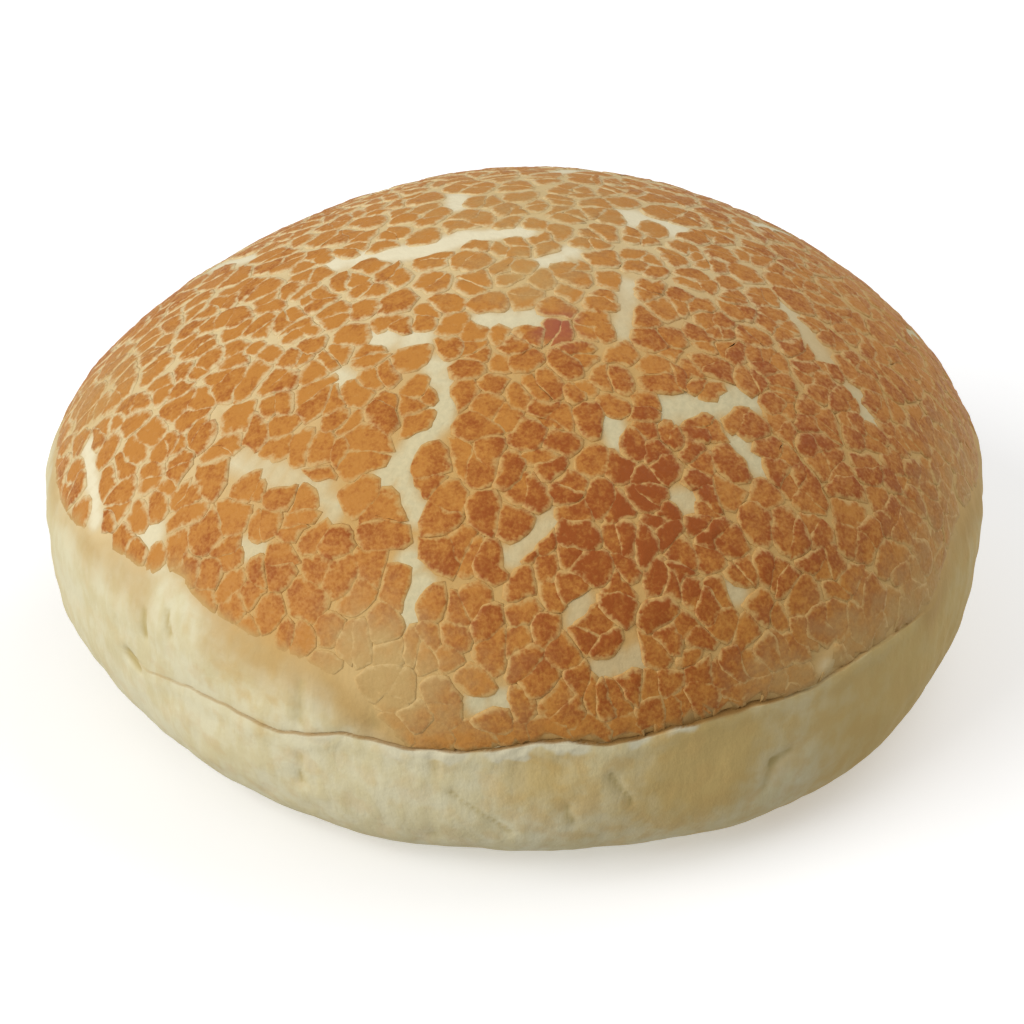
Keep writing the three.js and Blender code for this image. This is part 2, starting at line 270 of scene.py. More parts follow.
# Dough form: columns round the roll, and rows between elevations, as they are at the cut's middle. Rows up
# to some degrees from the cut follow it.
DOUGH_COLUMNS = 600
DOUGH_BANDS = [
    (-90, -30, 14),
    (-30, -4.8, 44),
    (-4.8, -2.4, 12),
    (-2.4, -1.2, 12),
    (-1.2, 1.2, 10),
    (1.2, 20, 30),
    (20, 90, 40),
]
CUT_FOLLOW = 30

# Unevenness of the dough, as height and length, its streaks, and the share of it that stays under the crust.
DOUGH_WAVES = [(0.35, 9.0), (0.16, 3.2)]
STREAK_HEIGHT = 0.07
STREAK_LENGTH = 1.4
STREAK_STRETCH = (1, 1, 0.5)
UNDER_CRUST_WAVES = 0.3

# Creases in the dough, as two (azimuth, elevation) ends, half width and depth, which is below zero for a
# ridge. They waver by a reach and a length, and take painted shade, olive, that deepens with their depth up
# to the shading depth.
CREASE_SHADE = 0.4
CREASE_WAVER = (0.4, 2.2)
CREASES = [
    ((-9, -8.5), (-2.3, -14), 0.45, 0.3),
    ((4, -10), (5, -13), 0.45, 0.35),
    ((9, -6), (11.5, -10), 0.45, 0.35),
    ((31.4, -7.5), (28.8, -8.5), 0.6, 0.3),
    ((28.8, -8.5), (28.2, -12), 0.6, 0.25),
    ((-27.3, -7), (-27.3, -11), 0.5, 0.35),
    ((-10.8, -3.6), (-11.5, -16), 0.6, 0.25),
    ((-18.2, 3), (-17.8, -1), 0.7, 0.2),
    ((-27, 2.3), (-27, -2), 0.9, 0.25),
    ((-51.8, 2.4), (-51.9, -0.8), 0.6, 0.4),
    ((-47.5, 4.2), (-47, 1.7), 0.6, 0.35),
    ((-56.4, -4.9), (-54.2, -6.2), 0.7, 0.4),
    ((38.5, 3.5), (34.5, 1.2), 0.8, -0.3),
    ((-86, -9), (-82, -14), 0.9, 0.18),
    ((-121, -7), (-117, -12), 0.9, 0.2),
    ((-158, -5), (-161, -11), 1.0, 0.2),
    ((170, -9), (175, -13), 0.9, 0.2),
    ((139, -4), (136, -8), 0.9, 0.18),
    ((111, -8), (114, -14), 1.0, 0.18),
    ((80, -6), (84, -10), 0.9, 0.2),
]

# Ochre patches on the bare dough: azimuth, elevation, spread, strength.
TOAST_SPOTS = [
    (-33, 1, 7, 0.38),
    (0.5, -5.5, 4, 0.6),
    (20, -5.5, 5, 0.7),
    (10, -12, 6, 0.3),
    (31, -12, 3.5, -0.4),
    (48, -8, 22, 0.7),
    (100, -8, 30, 0.45),
    (180, -8, 40, 0.25),
    (142, -8, 7, 0.25),
    (-165, -6, 6, 0.35),
    (-128, -9, 6, 0.3),
    (-95, -12, 7, 0.25),
]

# Cut's form: its depth and half width, the place where it gapes (azimuth, spread, extra half width), and how
# far its lips stand out or tuck in, and over what height.
CUT_DEPTH = 0.45
CUT_HALF_WIDTH = 0.1
CUT_GAPE = (23, 3.5, 0.2)
LOWER_LIP = 0.15
UPPER_LIP = 0.25
LIP_HEIGHT = 1.0

# Fine waver of the cut's line beside that of the solid: turns, phase, height in millimetres.
CUT_RAGGED = [(29, 20, 0.15), (67, 130, 0.07), (113, 10, 0.04)]

# How plainly the cut shows: it comes up evenly between two azimuths, and is a soft fold on the right, from
# two azimuths on and by this share. At its ends it fades out where it is open by less than the end share.
CUT_START = (-95, 12)
CUT_FOLD = (26, 33, 0.65)
CUT_END_FADE = 0.25

# Brown of the cut, partly real and partly painted shade in and over the groove: how far it spreads past the
# groove, its strength on a bare and on a pasted upper lip, and the height over which it fades there.
SCORCH_SHADE_SPREAD = 0.06
SCORCH_SHADE_LIP = (0.3, 0.7)
SCORCH_SHADE_HEIGHT = 0.7

# Torn crumb on the cut's lower lip: its height, the azimuths at which it starts, is full, is last full and
# ends, its taper (two azimuths and share), the lengths of its ragged edge's noise, how soft that edge is
# below and above, its breaks (length, softness) and its roughness (height, length).
CRUMB_HEIGHT = 1.05
CRUMB_AZIMUTHS = (-38, -16, 18, 28)
CRUMB_TAPER = (2, 20, 0.6)
CRUMB_RAGGED = (3.0, 1.1)
CRUMB_EDGE = (1.0, 0.6)
CRUMB_BREAKS = (4.0, 0.25)
CRUMB_ROUGH = (0.15, 0.7)

# Colours in even light, sRGB from 0 to 255, but for the painted shade that some of them hold.
PASTE_LIGHT = (193, 130, 57)
PASTE_DARK = (154, 79, 27)
PASTE_THIN = (193, 159, 100)
PASTE_BLUSH = (164, 88, 60)
CRACK_FAINT = (206, 174, 116)
CRACK_PALE = (220, 198, 150)
CRACK_GOLD = (202, 161, 97)
RIFT_CROWN = (232, 221, 187)
RIFT_PALE = (214, 200, 158)
RIFT_GREY = (204, 192, 152)
DOUGH_LIGHT = (221, 212, 176)
DOUGH_DARK = (213, 200, 156)
DOUGH_TOASTED = (206, 178, 114)
CRUMB_WHITE = (218, 209, 176)
# Olive of the painted shade in the dough's creases.
CREASE_SHADE_OLIVE = (184, 164, 106)
# Brown of the cut, partly real and partly painted shade.
CUT_BROWN_AND_SHADE = (152, 114, 60)

# Surface patterns: length and detail. Most of their noise lies in one range.
PASTE_BLOTCH = (2.2, 3.0)
PASTE_FLECK = (0.9, 3.0)
PASTE_GRAIN = (0.35, 2.0)
RIM_PATTERN = (0.9, 2.0)
DOUGH_CLOUD = (7.0, 3.0)
DOUGH_PATCH = (2.5, 3.0)
DOUGH_GRAIN = (0.5, 3.0)
STREAK_DETAIL = 3.0
NOISE_RANGE = (0.3, 0.7)

# How far patterns move the values that colours follow: the plates' tone by blotch, fleck and grain, their rim
# by its own pattern and the grain, and the others by one pattern each.
TONE_SWINGS = (0.2, 0.14, 0.16)
RIM_SWINGS = (0.22, 0.1)
BLUSH_SWING = 0.15
FADED_SWING = 0.12
SHADE_SWING = 0.12
TOAST_SWING = 0.1
STAIN_SWING = 0.15
TAN_SWING = 0.2

# Ranges of those values in which one colour passes into another.
RIM_RANGE = (0.0, 0.85)
BLUSH_RANGE = (0.15, 1.0)
FADED_RANGE = (0.1, 1.0)
COVER_RANGE = (0.4, 1.0)
TOAST_RANGE = (0.1, 0.85)
STAIN_RANGE = (0.1, 1.0)
CREASE_SHADE_RANGE = (0.1, 1.2)
CRUMB_RANGE = (0.2, 0.8)
SCORCH_SHADE_RANGE = (0.0, 0.9)

# Gloss of the surfaces, and the depths of their bumps.
PASTE_ROUGHNESS = (0.5, 0.7)
DOUGH_ROUGHNESS = 0.75
SPECULAR = 0.2
PASTE_GRAIN_BUMP = 0.04
PASTE_FLECK_BUMP = 0.1
DOUGH_GRAIN_BUMP = 0.05
DOUGH_STREAK_BUMP = 0.15

# Positions of a mix node's colour sockets: the two inputs and the output.
MIX_COLOURS = (6, 7)
MIX_RESULT = 2

# Photo's view: the camera looks along +Y and down, and the body's middle lies a little off the picture's
# middle.
VIEW_ELEVATION = 29.28
VIEW_DISTANCE = 412.8
VIEW_RIGHT = -1.83
VIEW_UP = -2.97
LENS = 130.0
SENSOR = 36.0

# Studio light: each lamp's azimuth, elevation and power in watts, its distance and size in metres, and the
# strength of a white sky.
LAMPS = [(-60, 28, 14.5), (122, 48, 6.2)]
LAMP_DISTANCE = 1.3
LAMP_SIZE = 1.2
WHITE = (1.0, 1.0, 1.0, 1.0)
SKY_STRENGTH = 0.4

# Floor: its size in metres, linear colour and roughness, and a weak glow that doesn't light the roll.
FLOOR_SIZE = 8
FLOOR_COLOUR = (0.92, 0.92, 0.92, 1.0)
FLOOR_ROUGHNESS = 0.9
FLOOR_GLOW = 0.28


def direction(azimuth, elevation):
    """Unit vector from the body's middle."""
    azimuth, elevation = np.radians(azimuth), np.radians(elevation)
    across = np.cos(elevation)
    return np.stack([across * np.sin(azimuth), -across * np.cos(azimuth), np.sin(elevation)], axis=-1)


def from_crown(right, front):
    """Direction that lies so many degrees right of and in front of the crown."""
    return direction(np.degrees(np.arctan2(right, front)), 90 - np.hypot(right, front))


def azimuth_of(ways):
    return np.degrees(np.arctan2(ways[..., 0], -ways[..., 1]))


def elevation_of(ways):
    return np.degrees(np.arcsin(np.clip(ways[..., 2], -1, 1)))


def between(ends, share):
    """Value that lies this share of the way from the first end to the last."""
    low, high = ends
    return low + (high - low) * share


def smoothstep(value, low, high):
    share = np.clip((value - low) / (high - low), 0, 1)
    return share * share * (3 - 2 * share)


def unit(vectors):
    return vectors / np.linalg.norm(vectors, axis=-1, keepdims=True)


def tangents(way):
    """Two unit vectors square to a direction: level, and up along the body."""
    sideways = unit(np.array([-way[1], way[0], 0.0]))
    return sideways, np.cross(way, sideways)


def near(ways, middle, spread):
    """1 at the middle direction, falling off smoothly over the spread in degrees."""
    turn = np.degrees(np.arccos(np.clip(ways @ middle, -1, 1))) / spread
    return np.exp(-turn * turn / 2)


def spotted(ways, spots, towards):
    """Total strength of spots, each given by two angles of its direction, its spread and its strength."""
    total = np.zeros(ways.shape[:-1])
    for first, second, spread, strength in spots:
        total = total + strength * near(ways, towards(first, second), spread)
    return total


def plateau(value, middle, half_width):
    """1 round the middle, falling off steeply at the half width."""
    return np.exp(-(((value - middle) / half_width) ** 4))


def wave(shape, azimuth):
    """Sine wave round the roll, given by its turns, phase and height."""
    turns, phase, height = shape
    return height * np.sin(np.radians(turns * azimuth + phase))


def noise_at(points, length):
    """Smooth noise between about -1 and 1, with features of this length."""
    return np.array([noise.noise(spot) for spot in (points / length).tolist()])


def noise_vectors(points, length):
    return np.array([noise.noise_vector(spot) for spot in (points / length).tolist()])


def body_radius(ways):
    """Distance from the body's middle to its plain skin."""
    upper = ways[..., 2] > 0
    height = np.where(upper, CROWN_HEIGHT, HEEL_DEPTH)
    fullness = np.where(upper, CROWN_FULLNESS, HEEL_FULLNESS)
    across = np.hypot(ways[..., 0], ways[..., 1]) / WAIST_RADIUS
    upright = np.abs(ways[..., 2]) / height
    return (across**fullness + upright**fullness) ** (-1 / fullness) + spotted(ways, SWELLS, direction)


def point_at(ways, raised=0.0):
    """Points on the plain body, raised by so much."""
    return ways * (body_radius(ways) + raised)[..., None]


def cut_elevation(azimuth):
    return CUT_ELEVATION + CUT_TILT * np.sin(np.radians(azimuth)) + wave(CUT_WAVE, azimuth)


def above_cut(ways):
    """Height above the cut's line, in millimetres."""
    return np.radians(elevation_of(ways) - cut_elevation(azimuth_of(ways))) * WAIST_RADIUS


def above_ragged_cut(ways):
    """Height above the cut's line with its fine waver, in millimetres."""
    azimuth = azimuth_of(ways)
    return above_cut(ways) - sum(wave(shape, azimuth) for shape in CUT_RAGGED)


def cut_share(ways):
    """How open the cut is there: 1 in the middle, 0 at and beyond its ends."""
    return np.maximum(0, 1 - (azimuth_of(ways) / CUT_HALF_ANGLE) ** 2)


def cut_presence(ways):
    """1 along the cut, fading to 0 at its ends."""
    return smoothstep(cut_share(ways), 0.0, CUT_END_FADE)


def cut_strength(ways):
    """How plainly the cut shows there, from 0 to 1."""
    azimuth = azimuth_of(ways)
    start, full = CUT_START
    fold, folded, soft = CUT_FOLD
    strength = np.clip((azimuth - start) / (full - start), 0, 1)
    return strength * (1 - soft * smoothstep(azimuth, fold, folded))


def above_border(ways):
    """Height above the lower border of the crust, in degrees."""
    azimuth = azimuth_of(ways)
    level = BORDER_ELEVATION + sum(wave(shape, azimuth) for shape in BORDER_WAVES)
    for middle, half_width, drop in BORDER_HANGS:
        level = level - drop * plateau(azimuth, middle, half_width)
    return elevation_of(ways) - level


def crust_cover(ways):
    """How much paste the solid has there, from 0 on bare dough to 1 on the dome."""
    return np.where(above_cut(ways) < 0, 0.0, smoothstep(above_border(ways), 0, BORDER_FADE))


def bare(ways):
    """How bare the crust's border is there, from 0 to 1."""
    total = np.zeros(ways.shape[:-1])
    for spot in BARE_SPOTS:
        total = np.maximum(total, spotted(ways, [spot], direction))
    return total


def paste_cover(ways):
    """Thickness of the plates, from 0 at the crust's border to 1 a little above it."""
    middle, half_width, drop = PASTE_HANG
    lower = drop * plateau(azimuth_of(ways), middle, half_width)
    cover = smoothstep(above_border(ways) + lower, *PASTE_EDGE) * (1 - bare(ways))
    return np.where(above_cut(ways) < 0, 0.0, cover)


class SeededRandom:
    """Repeatable draws between 0 and 1, by the minimal standard generator."""

    MULTIPLIER = 48271
    MODULUS = 2**31 - 1

    def __init__(self, seed):
        self.state = seed

    def draw(self):
        self.state = self.state * self.MULTIPLIER % self.MODULUS
        return self.state / self.MODULUS

    def table(self, rows, columns):
        return np.array([self.draw() for _ in range(rows * columns)]).reshape(rows, columns)


class Seeds:
    """Middles of the crust's cells, in the order in which the solid plants them."""

    ROOM = 4000

    def __init__(self):
        self.count = 0
        self.all_ways = np.zeros((self.ROOM, 3))
        self.all_points = np.zeros((self.ROOM, 3))
        self.all_sizes = np.zeros(self.ROOM)
        self.kinds, self.groups, self.draws = [], [], []

    @property
    def ways(self):
        return self.all_ways[: self.count]

    @property
    def sizes(self):
        return self.all_sizes[: self.count]

    def add(self, way, size, kind, group=None, draw=0.0):
        self.all_ways[self.count] = way
        self.all_points[self.count] = point_at(way)
        self.all_sizes[self.count] = size
        self.kinds.append(kind)
        self.groups.append(kind if group is None else group)
        self.draws.append(draw)
        self.count += 1

    def gaps(self, point):
        return np.linalg.norm(self.all_points[: self.count] - point, axis=1)

    def has_room(self, point, size):
        return bool(np.all(self.gaps(point) >= (self.sizes + size) / 2))


def add_lip_seeds(seeds):
    pairs = round(2 * np.radians(CUT_HALF_ANGLE) * WAIST_RADIUS / LIP_SPACING)
    spread = np.degrees(LIP_SPREAD / WAIST_RADIUS)
    for pair in range(pairs + 1):
        azimuth = between((-CUT_HALF_ANGLE, CUT_HALF_ANGLE), pair / pairs)
        for side in (1, -1):
            way = direction(azimuth, cut_elevation(azimuth) + side * spread)
            seeds.add(way, LIP_SIZE, "plate" if crust_cover(way) > 0 else "lip")


def add_rift_seeds(seeds):
    for width, path in RIFTS:
        for leg in range(len(path) - 1):
            start, end = from_crown(*path[leg]), from_crown(*path[leg + 1])
            steps = max(1, round(np.linalg.norm(point_at(start) - point_at(end)) / width))
            for step in range(steps + 1):
                way = unit(between((start, end), step / steps))
                if np.all(seeds.gaps(point_at(way)) > width / 2):
                    seeds.add(way, RIFT_ROOM * width, "rift")


def thrown_on_dome(right, front):
    reach = (-PLATE_REACH, PLATE_REACH)
    return from_crown(between(reach, right), between(reach, front))


def group_middles(random):
    """Middles of the groups of plates, which have wider cracks between them."""
    groups = Seeds()
    ways = thrown_on_dome(*random.table(GROUP_TRIES, 2).T)
    for way, point in zip(ways, point_at(ways)):
        if groups.has_room(point, GROUP_SPACING):
            groups.add(way, GROUP_SPACING, "group")
    return groups


def add_plate_seeds(seeds, random):
    groups = group_middles(random)
    right, front, share, draws = random.table(PLATE_TRIES, 4).T
    ways = thrown_on_dome(right, front)
    largest = between((PLATE_LARGE, PLATE_SMALL), np.arange(PLATE_TRIES) / PLATE_TRIES)
    sizes = between((PLATE_SMALL, largest), share) * (1 - spotted(ways, [FINE_PLATES], direction))
    covered = crust_cover(ways) > 0
    for way, point, size, draw, on_crust in zip(ways, point_at(ways), sizes, draws, covered):
        if on_crust and seeds.has_room(point, size):
            seeds.add(way, size, "plate", int(np.argmin(groups.gaps(point))), draw)


def add_dough_seeds(seeds, random):
    up, round_about = random.table(DOUGH_TRIES, 2).T
    elevation = between((-90, DOUGH_HIGHEST), up)
    ways = direction(between((-180, 180), round_about), elevation)
    sizes = np.where(elevation < UNDER_ELEVATION, UNDER_FACET, SIDE_FACET)
    uncovered = crust_cover(ways) == 0
    for way, point, size, on_dough in zip(ways, point_at(ways), sizes, uncovered):
        if on_dough and seeds.has_room(point, size):
            seeds.add(way, size, "dough")


def plant_seeds():
    random = SeededRandom(LAYOUT_SEED)
    seeds = Seeds()
    add_lip_seeds(seeds)
    add_rift_seeds(seeds)
    add_plate_seeds(seeds, random)
    add_dough_seeds(seeds, random)
    return seeds


def split_plates(seeds):
    """The seeds with larger plates broken into several round the same middle."""
    random = SeededRandom(SPLIT_SEED)
    finer = Seeds()
    island = int(np.argmax(seeds.ways @ from_crown(*ISLAND)))
    pasted = paste_cover(seeds.ways) > THINNEST_COVER
    apparent = seeds.sizes * (1 + spotted(seeds.ways, [SPLIT_FINER], direction))
    for cell, way in enumerate(seeds.ways):
        turn, luck = 2 * np.pi * random.draw(), random.draw()
        kind, size = seeds.kinds[cell], seeds.sizes[cell]
        if cell == island or (kind == "dough" and pasted[cell]):
            kind = "plate"
        count, apart = 1, 0.0
        for least, pieces, spread in SPLIT_SIZES:
            if kind == "plate" and apparent[cell] > least and luck < SPLIT_SHARE:
                count, apart = pieces, spread
        sideways, along = tangents(way)
        for piece in range(count):
            angle = turn + 2 * np.pi * (piece + SPLIT_TURN * (random.draw() - 0.5)) / count
            reach = apart * size / WAIST_RADIUS * between(SPLIT_REACH, random.draw())
            step = reach * (np.cos(angle) * sideways + np.sin(angle) * along)
            draw = (seeds.draws[cell] + piece / count) % 1
            finer.add(unit(way + step), size / np.sqrt(count), kind, seeds.groups[cell], draw)
    return finer


def place(thing):
    bpy.context.scene.collection.objects.link(thing)
    return thing


class MeshParts:
    """Points, faces and point values of a mesh in the making."""

    def __init__(self):
        self.points, self.faces, self.values = [], [], {}
        self.count = 0

    def add(self, points, faces, **values):
        self.points.append(points)
        self.faces.extend([[corner + self.count for corner in face] for face in faces])
        for name, value in values.items():
            self.values.setdefault(name, []).append(value)
        self.count += len(points)

    def make(self, name, shift):
        mesh = bpy.data.meshes.new(name)
        points = (np.concatenate(self.points) + shift) * MM
        mesh.from_pydata(points.tolist(), [], self.faces)
        for key, value in self.values.items():
            attribute = mesh.attributes.new(key, "FLOAT", "POINT")
            attribute.data.foreach_set("value", np.concatenate(value).astype(np.float32))
        mesh.shade_smooth()
        return place(bpy.data.objects.new(name, mesh))


def crack_limit(seeds, cell, other, distance):
    """How far a plate reaches towards another cell: half-way, less the crack, or up to the rift there."""
    luck = (seeds.draws[cell] + seeds.draws[other]) % 1
    if seeds.kinds[other] == "rift":
        return distance - between(RIFT_REACH, luck) * seeds.sizes[other] / RIFT_ROOM
    groups = (seeds.groups[cell], seeds.groups[other])
    crack = FINE_CRACK if groups[0] == groups[1] else WIDE_CRACK
    if "plate" in groups:
        crack = HAIR_CRACK
    return distance / 2 - between(crack, luck)


def plate_outline(seeds, cell, rays):
    """Reach of a plate along each ray from its middle: up to the cracks, with rounded corners."""
    way = seeds.ways[cell]
    nearness = seeds.ways @ way
    others = np.argsort(-nearness)[1 : PLATE_NEIGHBOURS + 1]
    sideways, along = tangents(way)
    flat = np.stack([seeds.ways[others] @ sideways, seeds.ways[others] @ along], axis=1)
    reach = np.linalg.norm(flat, axis=1)
    distances = 2 * body_radius(way) * (1 - nearness[others]) / reach
    limits = np.array([crack_limit(seeds, cell, other, gap) for other, gap in zip(others, distances)])
    limits = np.maximum(limits - spotted(way, OPEN_CRACKS, from_crown), PLATE_LEAST_REACH)
    facing = np.maximum(0, rays @ (flat / reach[:, None]).T)
    sharpness = between(CORNER_SHARPNESS, seeds.draws[cell])
    return np.sum((facing / limits) ** sharpness, axis=1) ** (-1 / sharpness)


def warped(ways):
    """Directions moved a little sideways, so that cracks waver."""
    points = ways * WAIST_RADIUS
    return unit(points + sum(reach * noise_vectors(points, length) for reach, length in CRACK_WAVERS))


def plate_points(seeds, cell, turns, rays, outline):
    """A plate's points, ring by ring from its outline inwards, then its top and its bottom.

    Returns each point's direction, its rise as a share of the plate's thickness, its way in from the rim from
    0 to 1, and its lean.
    """
    way, draw = seeds.ways[cell], seeds.draws[cell]
    radius = body_radius(way)
    spokes = rays @ np.array(tangents(way)) / radius
    waver, length = RIM_WAVER
    outline = outline + waver * noise_at((way + spokes * outline[:, None]) * radius, length)
    ways, rises, rims, leans = [], [], [], []
    for inset, rise in PLATE_RINGS:
        reach = np.maximum(outline - inset, outline * (1 - inset))
        ways.append(way + spokes * reach[:, None])
        rises.append(np.full(len(turns), rise))
        rims.append(np.full(len(turns), inset / PLATE_RINGS[-1][0]))
        leans.append(PLATE_LEAN * np.cos(turns - LEAN_TURN * draw) * reach / outline.mean())
    ways.append(np.stack([way, way]))
    rises.append([PLATE_CROWN, 0.0])
    rims.append([1.0, 0.0])
    leans.append([0.0, 0.0])
    ways = warped(unit(np.concatenate(ways)))
    return ways, np.concatenate(rises), np.concatenate(rims), np.concatenate(leans)


def plate_level(ways, rises, leans, draw):
    """Height of a plate's points over the plain body."""
    cover = paste_cover(ways)
    rough, length = PLATE_ROUGH
    thickness = CRACK_DEPTH + PLATE_LIFT * (2 * draw - 1) + leans
    thickness = thickness + rough * noise_at(ways * WAIST_RADIUS, length)
    thickness = np.maximum(thickness, THINNEST_PLATE) * (1 - FADED_FLATNESS * faded(ways))
    thin_sink = THIN_SINK * (1 - smoothstep(cover, *SUNK_COVER))
    cut_sink = CUT_SINK * cut_presence(ways) * smoothstep(-above_ragged_cut(ways), *CUT_SINK_EDGE)
    root = PLATE_ROOT * (rises == 0)
    return dough_height(ways) + rises * thickness * cover**2 - root - (thin_sink + cut_sink)


def cap_faces(count, rings):
    """Faces of a closed cap: rings of points from its edge inwards, then a top point and a bottom point."""
    top, bottom = count * rings, count * rings + 1
    last = (rings - 1) * count
    faces = []
    for k in range(count):
        following = (k + 1) % count
        for low in range(0, last, count):
            high = low + count
            faces.append([low + k, low + following, high + following, high + k])
        faces.append([last + k, last + following, top])
        faces.append([following, k, bottom])
    return faces


def brownness_and_fold_shade(ways, draw):
    """How browned the crust is there, with painted shade added on the dark side of its fold, from 0 to 1."""
    # The fold's part is painted shade on its dark side.
    fold = spotted(ways, [FOLD_SHADE], from_crown) * smoothstep(azimuth_of(ways), *FOLD_EDGE)
    brown = BROWN_LEAST + BROWN_RANGE * draw + spotted(ways, BROWN_SPOTS, from_crown) + fold
    return np.clip(brown, 0, 1)


def faded(ways):
    """How thin and golden the paste is there, from 0 to 1."""
    return np.clip(spotted(ways, FADED_SPOTS, direction), 0, 1)


def goldenness(ways):
    """How golden the cracks are there, from 0 to 1."""
    facing = np.max([ways @ direction(*side) for side in GOLD_SIDES], axis=0)
    return smoothstep(facing, *GOLD_RANGE)


def blushing(ways):
    """How pink the paste is there, from 0 to 1."""
    right, front, spread = BLUSH
    return near(ways, from_crown(right, front), spread)


def add_plate(parts, seeds, cell):
    draw = seeds.draws[cell]
    count = int(np.clip(np.pi * seeds.sizes[cell] / PLATE_STEP, *PLATE_SPOKES))
    turns = 2 * np.pi * np.arange(count) / count
    rays = np.stack([np.cos(turns), np.sin(turns)], axis=1)
    outline = plate_outline(seeds, cell, rays)
    if outline.mean() < SMALLEST_PLATE:
        return
    ways, rises, rims, leans = plate_points(seeds, cell, turns, rays, outline)
    at_cut = cut_presence(ways) * cut_strength(ways)
    parts.add(
        point_at(ways, plate_level(ways, rises, leans, draw)),
        cap_faces(count, len(PLATE_RINGS)),
        rim=rims,
        cover=paste_cover(ways),
        brown=brownness_and_fold_shade(ways, draw),
        gold=goldenness(ways),
        faded=faded(ways),
        blush=blushing(ways),
        scorch=at_cut * smoothstep(-above_ragged_cut(ways), *CUT_BROWN_SHADE_EDGE),
    )


def crust_parts(seeds):
    parts = MeshParts()
    thick_enough = paste_cover(seeds.ways) > THINNEST_COVER
    for cell, kind in enumerate(seeds.kinds):
        if kind == "plate" and thick_enough[cell]:
            add_plate(parts, seeds, cell)
    return parts


def dough_directions():
    """A grid of directions whose rows follow the cut where they pass near it."""
    azimuth = np.linspace(-180, 180, DOUGH_COLUMNS, endpoint=False)
    rows = np.concatenate([np.linspace(*band, endpoint=False) for band in DOUGH_BANDS])[1:]
    follow = np.clip(1 - np.abs(rows - CUT_ELEVATION) / CUT_FOLLOW, 0, 1)
    elevation = rows[:, None] + follow[:, None] * (cut_elevation(azimuth) - CUT_ELEVATION)
    return direction(np.broadcast_to(azimuth, elevation.shape), elevation)


def grid_faces(rows, columns):
    """Faces of a grid that closes round, with a bottom and a top point after its rows."""
    bottom, top = rows * columns, rows * columns + 1
    last = (rows - 1) * columns
    faces = []
    for column in range(columns):
        following = (column + 1) % columns
        for low in range(0, last, columns):
            high = low + columns
            faces.append([low + column, low + following, high + following, high + column])
        faces.append([following, column, bottom])
        faces.append([last + column, last + following, top])
    return faces


def on_base(ways, radius):
    """Radius with the base cut flat and its edge a little rounded."""
    to_base = BASE_DROP / np.maximum(LEAST_FALL, -ways[..., 2])
    total = radius**-BASE_EDGE_FULLNESS + to_base**-BASE_EDGE_FULLNESS
    return total ** (-1 / BASE_EDGE_FULLNESS)


def cut_half_width(ways):
    """Half width of the groove, which gapes in one place."""
    azimuth, spread, extra = CUT_GAPE
    return CUT_HALF_WIDTH + extra * np.exp(-(((azimuth_of(ways) - azimuth) / spread) ** 2))


def cut_form(ways):
    """Height of the cut's groove and lips over the plain body."""
    above = above_ragged_cut(ways)
    groove = CUT_DEPTH * np.maximum(0, 1 - np.abs(above) / cut_half_width(ways))
    upper = UPPER_LIP * np.exp(-np.maximum(above, 0) / LIP_HEIGHT) * (above >= 0)
    lower = LOWER_LIP * np.exp(-((above / LIP_HEIGHT + 1) ** 2)) * (above < 0)
    return np.sqrt(cut_share(ways)) * (lower - upper) - cut_share(ways) * cut_strength(ways) * groove


def crumb_band(ways, points):
    """Torn crumb on the cut's lower lip, with a ragged lower edge, from 0 to 1."""
    azimuth, above = azimuth_of(ways), above_ragged_cut(ways)
    start, full, last, end = CRUMB_AZIMUTHS
    along = smoothstep(azimuth, start, full) * (1 - smoothstep(azimuth, last, end))
    first, final, taper = CRUMB_TAPER
    height = CRUMB_HEIGHT * (1 - taper * smoothstep(azimuth, first, final))
    depth = height * (1 + sum(noise_at(points, length) for length in CRUMB_RAGGED))
    length, softness = CRUMB_BREAKS
    torn = along * smoothstep(noise_at(points, length), -softness, softness)
    below, over = CRUMB_EDGE
    return torn * smoothstep(above, -depth - below, -depth + over) * (above < 0)


def crease_depth(points):
    """Depth of the creases at points of the body."""
    total = np.zeros(len(points))
    reach, length = CREASE_WAVER
    points = points + reach * noise_vectors(points, length)
    for start, end, half_width, depth in CREASES:
        first, last = point_at(direction(*start)), point_at(direction(*end))
        along = np.clip((points - first) @ (last - first) / np.sum((last - first) ** 2), 0, 1)
        gap = np.linalg.norm(points - first - along[:, None] * (last - first), axis=1)
        total += depth * np.exp(-((gap / half_width) ** 2))
    return total


def dough_height(ways):
    """Unevenness of the dough and its creases, and how far it lies under the crust's face."""
    points, cover = point_at(ways), crust_cover(ways)
    uneven = sum(height * noise_at(points, length) for height, length in DOUGH_WAVES)
    uneven = uneven + STREAK_HEIGHT * noise_at(points * STREAK_STRETCH, STREAK_LENGTH)
    return uneven * (1 - (1 - UNDER_CRUST_WAVES) * cover) - CRACK_DEPTH * cover - crease_depth(points)


def paste_stain(ways):
    """Thin paste on the dough round the crust's border, fading downwards."""
    strength = between(STAIN_SHARE, plateau(azimuth_of(ways), *STAIN_FRONT))
    under_cut = cut_presence(ways) * (above_cut(ways) < 0)
    return strength * smoothstep(above_border(ways), *STAIN_EDGE) * (1 - under_cut) * (1 - bare(ways))


def rift_nearness(points, seeds):
    """1 in the middle of a rift, 0 about a rift's width away from it."""
    nearness = np.zeros(len(points))
    for cell, kind in enumerate(seeds.kinds):
        if kind == "rift":
            gap = np.linalg.norm(points - seeds.all_points[cell], axis=1)
            width = seeds.sizes[cell] / RIFT_ROOM
            nearness = np.maximum(nearness, 1 - smoothstep(gap / width, *RIFT_FADE))
    return nearness


def dulled(ways):
    """How dull rifts are there, from 0 to 1."""
    return np.clip(spotted(ways, DULL_RIFTS, from_crown), 0, 1)


def toasted(ways):
    """How ochre the bare dough is there, from 0 to 1."""
    return np.clip(spotted(ways, TOAST_SPOTS, direction), 0, 1) * (1 - crust_cover(ways))


